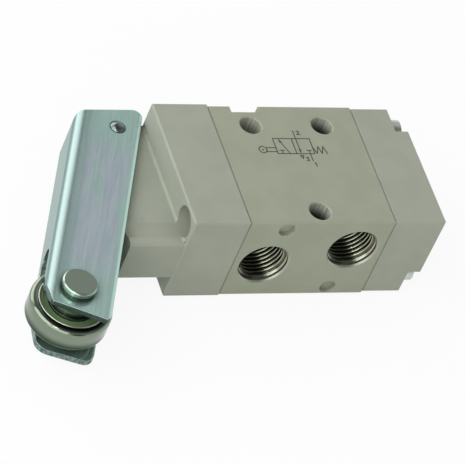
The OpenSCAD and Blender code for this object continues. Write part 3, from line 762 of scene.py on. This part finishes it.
def ring_of_turns(mouth, out, sizes):
    """A closed ring with one right-hand thread cut inside it, which fades in and out."""
    side = out.orthogonal().normalized()
    up = out.cross(side)
    start = sizes.thread_lip
    end = sizes.port_depth - sizes.thread_tail
    fade = THREAD_FADE * sizes.thread_pitch
    steps = round((end - start) / sizes.thread_pitch * PITCH_STEPS)
    wall = sizes.thread_root + THREAD_BACK
    shape = bmesh.new()

    def ring(depth, radius_at):
        row = []
        for angle in even_angles(PORT_STEPS):
            ray = side * math.cos(angle) + up * math.sin(angle)
            row.append(shape.verts.new(mouth - out * depth + ray * radius_at(angle)))
        return row

    def inner(depth):
        ease = min(1.0, (depth - start) / fade, (end - depth) / fade)

        def radius_at(angle):
            turn = (depth / sizes.thread_pitch + angle / (2 * math.pi)) % 1.0
            return sizes.thread_root - sizes.thread_depth * ease * thread_rise(turn)

        return ring(depth, radius_at)

    rows = [ring(start, lambda angle: wall)]
    for k in range(steps + 1):
        rows.append(inner(start + (end - start) * k / steps))
    rows.append(ring(end, lambda angle: wall))
    skin(shape, rows, closed=True)
    return shape


class Pen:
    """Draws flat closed strokes on the block's front face, in millimetres."""

    def __init__(self, floor, width, height):
        self.shape = bmesh.new()
        self.floor = floor
        self.width = width
        self.height = height
        self.strokes = 0

    def slab(self, outline):
        """A flat piece with this outline; each one is a hair higher than the last."""
        self.strokes += 1
        top = self.floor + self.height * (1 + STROKE_STEP * self.strokes)
        low = [self.shape.verts.new((x * MM, y * MM, self.floor)) for x, y in outline]
        high = [self.shape.verts.new((x * MM, y * MM, top)) for x, y in outline]
        self.shape.faces.new(low)
        self.shape.faces.new(high)
        for k in range(len(outline)):
            near = (k + 1) % len(outline)
            self.shape.faces.new((low[k], low[near], high[near], high[k]))

    def line(self, *points):
        """Straight strokes from point to point."""
        half = self.width / MM / 2
        for start, end in zip(points, points[1:]):
            way = (Vector(end) - Vector(start)).normalized() * half
            out = Vector((-way.y, way.x))
            first = Vector(start) - way
            last = Vector(end) + way
            self.slab([first - out, last - out, last + out, first + out])

    def round_points(self, centre, radius, sides):
        """Points on a circle."""
        points = []
        for angle in even_angles(sides):
            points.append((centre[0] + radius * math.cos(angle), centre[1] + radius * math.sin(angle)))
        return points

    def disc(self, centre, radius, sides=24):
        """A filled circle."""
        self.slab(self.round_points(centre, radius, sides))

    def circle(self, centre, radius, sides=28):
        """A drawn circle."""
        points = self.round_points(centre, radius, sides)
        self.line(*points, points[0])

    def arrow(self, start, end, length=1.1, breadth=0.62):
        """A line with a filled head at its end."""
        tip = Vector(end)
        way = (tip - Vector(start)).normalized()
        out = Vector((-way.y, way.x)) * breadth / 2
        base = tip - way * length
        self.line(start, base)
        self.slab([tip, base + out, base - out])


def draw_diagram(pen):
    """The usual symbol of a roller-worked, spring-returned valve with three ports."""
    # Two boxes, one for each state
    left, middle, right = -4.1, -0.16, 3.62
    low, high = 2.57, 6.45
    pen.line((left, low), (right, low), (right, high), (left, high), (left, low))
    pen.line((middle, low), (middle, high))
    # Pressed: one way is open, and a bar closes the other port
    bar = 3.42
    pen.arrow((-1.55, low), (-3.05, high))
    pen.line((-3.0, low), (-3.0, bar))
    pen.line((-3.45, bar), (-2.55, bar))
    # At rest: the outlet leads to the vent, and a bar closes the supply
    outlet, supply = 0.76, 2.66
    pen.line((outlet, high), (outlet, 8.45))
    pen.arrow((outlet, high), (0.78, low))
    pen.line((supply, 0.76), (supply, bar))
    pen.line((2.2, bar), (3.1, bar))
    # The vent's triangle
    pen.line((0.42, 2.1), (1.1, 2.1), (outlet, 1.3), (0.42, 2.1))
    # The roller with its arm
    roller = (-6.95, 3.58)
    pen.circle(roller, 0.8)
    pen.disc(roller, 0.2)
    for level in (4.07, 3.06):
        pen.line((-6.3, level), (left, level))
    # The return spring
    top, foot = 4.4, 2.65
    pen.line((right, top), (4.15, foot), (4.8, top), (5.2, foot), (5.85, top), (6.3, foot))
    # The ports' digits: 2, 3 and 1
    pen.line((1.45, 8.25), (1.7, 8.4), (1.95, 8.2), (1.45, 7.55), (2.0, 7.55))
    pen.line((1.5, 1.6), (1.9, 1.6), (1.7, 1.25), (1.95, 0.95), (1.7, 0.7), (1.45, 0.8))
    pen.line((2.85, 0.0), (3.05, 0.2), (3.05, -0.65))


class ValveOperator(bpy.types.Operator):
    """Shared way to the settings"""

    bl_options = {"REGISTER", "UNDO"}

    def settings(self, context):
        return context.scene.valve_sizes, context.scene.valve_colours


class VALVE_OT_coat_block(ValveOperator):
    """Coat the block, the lever head and the spring cap"""

    bl_idname = "valve.coat_block"
    bl_label = "Coat block and covers"

    def execute(self, context):
        sizes, colours = self.settings(context)
        holes = drilled_holes(sizes.port_depth)
        wear(nodes_of("block"), coat_finish("block_coat", colours.block, colours.bare, holes))
        wear(nodes_of("cover"), coat_finish("cover_coat", colours.cover, colours.bare))
        return {"FINISHED"}


class VALVE_OT_plate_lever(ValveOperator):
    """Plate the lever, the roller's axle and its sleeves"""

    bl_idname = "valve.plate_lever"
    bl_label = "Plate lever and axle"

    def execute(self, context):
        sizes, colours = self.settings(context)
        low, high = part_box("pivot_pin")
        pivot = joint_place("lever_press")
        zinc = lever_finish("lever_zinc", colours.lever, sizes.lever_tilt, pivot, (high.x - low.x) / 2)
        wear(nodes_of("lever"), zinc)
        centre = joint_place("roller_spin")
        zinc = turned_finish(
            "axle_zinc", colours.axle, centre, UPRIGHT, gloss=0.14, depth=0.002 * MM,
            rim=0.3 * MM, ends=0.58,
        )
        wear(nodes_of("axle"), zinc)
        return {"FINISHED"}


class VALVE_OT_polish_roller(ValveOperator):
    """Polish the roller's bearing and darken its shields"""

    bl_idname = "valve.polish_roller"
    bl_label = "Finish roller"

    def execute(self, context):
        _, colours = self.settings(context)
        centre = joint_place("roller_spin")
        low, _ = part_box("bearing_outer_ring")
        polish = turned_finish(
            "bearing_polish", colours.bearing, centre, UPRIGHT, gloss=0.06, depth=0.0006 * MM,
            dull=0.7, ends=0.1, less_shaded_side=LESS_SHADED_SIDE, shaded_below=low.z + LOW_SHADE_TOP,
        )
        wear(nodes_of("bearing"), polish)
        sheet = turned_finish(
            "shield_sheet", colours.shield, centre, UPRIGHT, gloss=0.3, depth=0.003 * MM, metal=0.3
        )
        wear(nodes_of("shield"), sheet)
        return {"FINISHED"}


class VALVE_OT_shield_rings(ValveOperator):
    """Lay the wire rings that hold the bearing's shields"""

    bl_idname = "valve.shield_rings"
    bl_label = "Lay shield rings"

    def execute(self, context):
        sizes, colours = self.settings(context)
        centre = joint_place("roller_spin")
        low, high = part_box("bearing_shields")
        radius = (high.x - low.x) / 2 - sizes.ring_wire
        shape = bmesh.new()
        for level in (low.z - sizes.ring_wire, high.z + sizes.ring_wire):
            wire_ring(shape, Vector((centre.x, centre.y, level)), radius, sizes.ring_wire)
        metal = turned_finish(
            "ring_wire_metal", colours.ring, centre, UPRIGHT, gloss=0.24, depth=0.0006 * MM
        )
        piece = new_piece("shield_rings", shape, metal)
        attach(piece, "roller")
        return {"FINISHED"}


class VALVE_OT_return_coil(ValveOperator):
    """Wind the return spring at its resting length; the real one shortens as the spool comes in"""

    bl_idname = "valve.return_coil"
    bl_label = "Wind return spring"

    def execute(self, context):
        sizes, colours = self.settings(context)
        low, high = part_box("return_spring")
        wire = plated_finish("spring_wire", colours.spring, gloss=0.3)
        wear(nodes_of("spring"), wire)
        piece = new_piece("return_coil", wound_coil(low, high, sizes.coil_wire, sizes.coil_turns), wire)
        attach(piece, "housing")
        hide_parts("return_spring")
        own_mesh(piece)
        return {"FINISHED"}


class VALVE_OT_finish_works(ValveOperator):
    """Finish the pin, spool, plunger, bush, cages, seals and screws"""

    bl_idname = "valve.finish_works"
    bl_label = "Finish works and screws"

    def execute(self, context):
        _, colours = self.settings(context)
        low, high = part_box("spool")
        centre = (low + high) / 2
        rod = turned_finish("rod_polish", colours.pin, centre, ALONG_SPOOL, gloss=0.14, depth=0.001 * MM)
        wear(nodes_of("pin"), rod)
        pivot = joint_place("lever_press")
        pin = turned_finish("pin_polish", colours.pin, pivot, UPRIGHT, gloss=0.1, depth=0.0004 * MM)
        wear(["pivot_pin"], pin)
        for slot in ("bush", "cage"):
            brass = turned_finish(
                slot + "_brass", colours.brass, centre, ALONG_SPOOL, gloss=0.24, depth=0.003 * MM
            )
            wear(nodes_of(slot), brass)
        wear(nodes_of("screw"), plated_finish("screw_plate", colours.screw, gloss=0.26))
        wear(nodes_of("seal"), rubber_finish("seal_rubber", colours.seal))
        return {"FINISHED"}


class VALVE_OT_port_threads(ValveOperator):
    """Cut the threads of the three ports"""

    bl_idname = "valve.port_threads"
    bl_label = "Cut port threads"

    def execute(self, context):
        sizes, colours = self.settings(context)
        for name, place, out in threaded_ports():
            mouth = place + out * sizes.port_depth / 2
            metal = thread_finish(name + "_metal", colours.bare, mouth, out, sizes)
            piece = new_piece(name + "_thread", ring_of_turns(mouth, out, sizes), metal)
            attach(piece, "housing")
        return {"FINISHED"}


class VALVE_OT_port_diagram(ValveOperator):
    """Print the diagram of the valve's ports on the front face"""

    bl_idname = "valve.port_diagram"
    bl_label = "Print diagram"

    def execute(self, context):
        sizes, colours = self.settings(context)
        _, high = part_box("body_block")
        pen = Pen(high.z, sizes.stroke_width, sizes.ink_height)
        draw_diagram(pen)
        piece = new_piece("port_diagram", pen.shape, ink_finish("diagram_ink", colours.ink))
        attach(piece, "housing")
        return {"FINISHED"}


def soft_lamp(name, offset, aim, size, power):
    """A white area lamp at this offset from the aim, which it looks at."""
    data = bpy.data.lights.new(name, "AREA")
    data.shape = "RECTANGLE"
    data.size, data.size_y = size
    data.energy = power
    lamp = bpy.data.objects.new(name, data)
    lamp.location = aim + offset
    lamp.rotation_euler = (aim - lamp.location).to_track_quat("-Z", "Y").to_euler()
    bpy.context.scene.collection.objects.link(lamp)


def seen_directly(nodes):
    """1 for rays that show the background: from the camera, in gloss and through clear things."""
    camera = nodes.node("ShaderNodeLightPath", {}, {}, "Is Camera Ray")
    glossy = nodes.node("ShaderNodeLightPath", {}, {}, "Is Glossy Ray")
    passing = nodes.node("ShaderNodeLightPath", {}, {}, "Is Transmission Ray")
    return camera.at_least(glossy).at_least(passing)


def pale_floor():
    """A white floor that keeps a faint shadow."""
    shape = bmesh.new()
    level = CAD_BOX[0].z - FLOOR_DROP
    corners = ((-1, -1), (1, -1), (1, 1), (-1, 1))
    shape.faces.new([shape.verts.new((x * FLOOR_HALF, y * FLOOR_HALF, level)) for x, y in corners])
    finish = Finish("studio_floor")
    cloud = finish.noise(finish.place(), size=0.2)
    paint = finish.mix(cloud, screen(236, 236, 235), screen(244, 244, 243))
    matte = finish.node("ShaderNodeBsdfDiffuse", {}, {"Color": paint})
    glow = finish.node("ShaderNodeEmission", {}, {"Color": (*WHITE, 1.0), "Strength": 1.0})
    shown = seen_directly(finish) * FLOOR_GLOW
    surface = finish.node("ShaderNodeMixShader", {}, {0: shown, 1: matte, 2: glow})
    finish.node("ShaderNodeOutputMaterial", {}, {"Surface": surface})
    floor = new_piece("floor", shape, finish.material)


def room_light(level):
    """Even light from all round, with a pale backdrop and a dark camera stand that gloss shows."""
    world = bpy.data.worlds.new("studio_room")
    world.use_nodes = True
    bpy.context.scene.world = world
    nodes = NodeTree(world.node_tree)
    heading = nodes.node("ShaderNodeTexCoord", {}, {}, "Generated")
    height = nodes.along(heading, UPRIGHT)
    backdrop = nodes.mix(nodes.between(height, *BACKDROP_GREY), WHITE, scaled(WHITE, 0.3))
    backdrop = nodes.mix(nodes.between(height, *BACKDROP_DARK), backdrop, scaled(WHITE, 0.14))
    glossy = nodes.node("ShaderNodeLightPath", {}, {}, "Is Glossy Ray")
    stand = nodes.between(nodes.along(heading, DARK_STAND), *STAND_EDGE)
    backdrop = nodes.mix(stand * glossy, backdrop, scaled(WHITE, 0.06))
    even = nodes.node("ShaderNodeBackground", {}, {"Color": (*WHITE, 1.0), "Strength": level})
    shown = nodes.node("ShaderNodeBackground", {}, {"Color": backdrop, "Strength": 1.0})
    both = nodes.node("ShaderNodeMixShader", {}, {0: seen_directly(nodes), 1: even, 2: shown})
    nodes.node("ShaderNodeOutputWorld", {}, {"Surface": both})


def photo_camera(studio):
    """The camera at the photograph's viewing angle."""
    back = Vector(
        (
            math.sin(studio.azimuth) * math.cos(studio.elevation),
            -math.cos(studio.azimuth) * math.cos(studio.elevation),
            math.sin(studio.elevation),
        )
    )
    level = Vector(UPRIGHT).cross(back).normalized()
    upright = back.cross(level)
    right = level * math.cos(studio.roll) + upright * math.sin(studio.roll)
    up = back.cross(right)
    data = bpy.data.cameras.new("camera")
    data.lens = studio.lens
    data.sensor_width = FILM_WIDTH
    data.clip_start = NEAR_CLIP
    camera = bpy.data.objects.new("camera", data)
    turn = Matrix((right, up, back)).transposed().to_4x4()
    camera.matrix_world = Matrix.Translation(Vector(studio.aim) + back * studio.distance) @ turn
    bpy.context.scene.collection.objects.link(camera)
    bpy.context.scene.camera = camera


class VALVE_OT_stage(ValveOperator):
    """Set the floor, the lamps and the camera"""

    bl_idname = "valve.stage"
    bl_label = "Set the stage"

    def execute(self, context):
        studio = context.scene.valve_studio
        context.scene.view_settings.view_transform = "Standard"
        pale_floor()
        room_light(studio.sky)
        for name, offset, size in LAMPS:
            power = getattr(studio, name + "_power")
            soft_lamp(name + "_lamp", Vector(offset), Vector(studio.aim), size, power)
        photo_camera(studio)
        return {"FINISHED"}


class VALVE_PT_sidebar(bpy.types.Panel):
    """The valve's sizes, colours and steps"""

    bl_idname = "VALVE_PT_sidebar"
    bl_label = "Roller lever air valve"
    bl_space_type = "VIEW_3D"
    bl_region_type = "UI"
    bl_category = "Air valve"

    def draw(self, context):
        for group in SETTINGS:
            box = self.layout.box()
            settings = getattr(context.scene, group)
            for name in settings.__annotations__:
                box.prop(settings, name)
        for operator in OPERATORS:
            self.layout.operator(operator.bl_idname)


SETTINGS = {
    "valve_sizes": ValveSizes,
    "valve_colours": ValveColours,
    "valve_studio": StudioSettings,
}
OPERATORS = (
    VALVE_OT_coat_block,
    VALVE_OT_plate_lever,
    VALVE_OT_polish_roller,
    VALVE_OT_shield_rings,
    VALVE_OT_return_coil,
    VALVE_OT_finish_works,
    VALVE_OT_port_threads,
    VALVE_OT_port_diagram,
    VALVE_OT_stage,
)
CLASSES = (*SETTINGS.values(), *OPERATORS, VALVE_PT_sidebar)


def register():
    for item in CLASSES:
        bpy.utils.register_class(item)
    for name, group in SETTINGS.items():
        setattr(bpy.types.Scene, name, PointerProperty(type=group))


def unregister():
    for name in SETTINGS:
        delattr(bpy.types.Scene, name)
    for item in reversed(CLASSES):
        bpy.utils.unregister_class(item)


def main():
    register()
    bpy.ops.valve.stage()
    bpy.ops.valve.coat_block()
    bpy.ops.valve.plate_lever()
    bpy.ops.valve.polish_roller()
    bpy.ops.valve.shield_rings()
    bpy.ops.valve.return_coil()
    bpy.ops.valve.finish_works()
    bpy.ops.valve.port_threads()
    bpy.ops.valve.port_diagram()


if __name__ == "__main__":
    main()
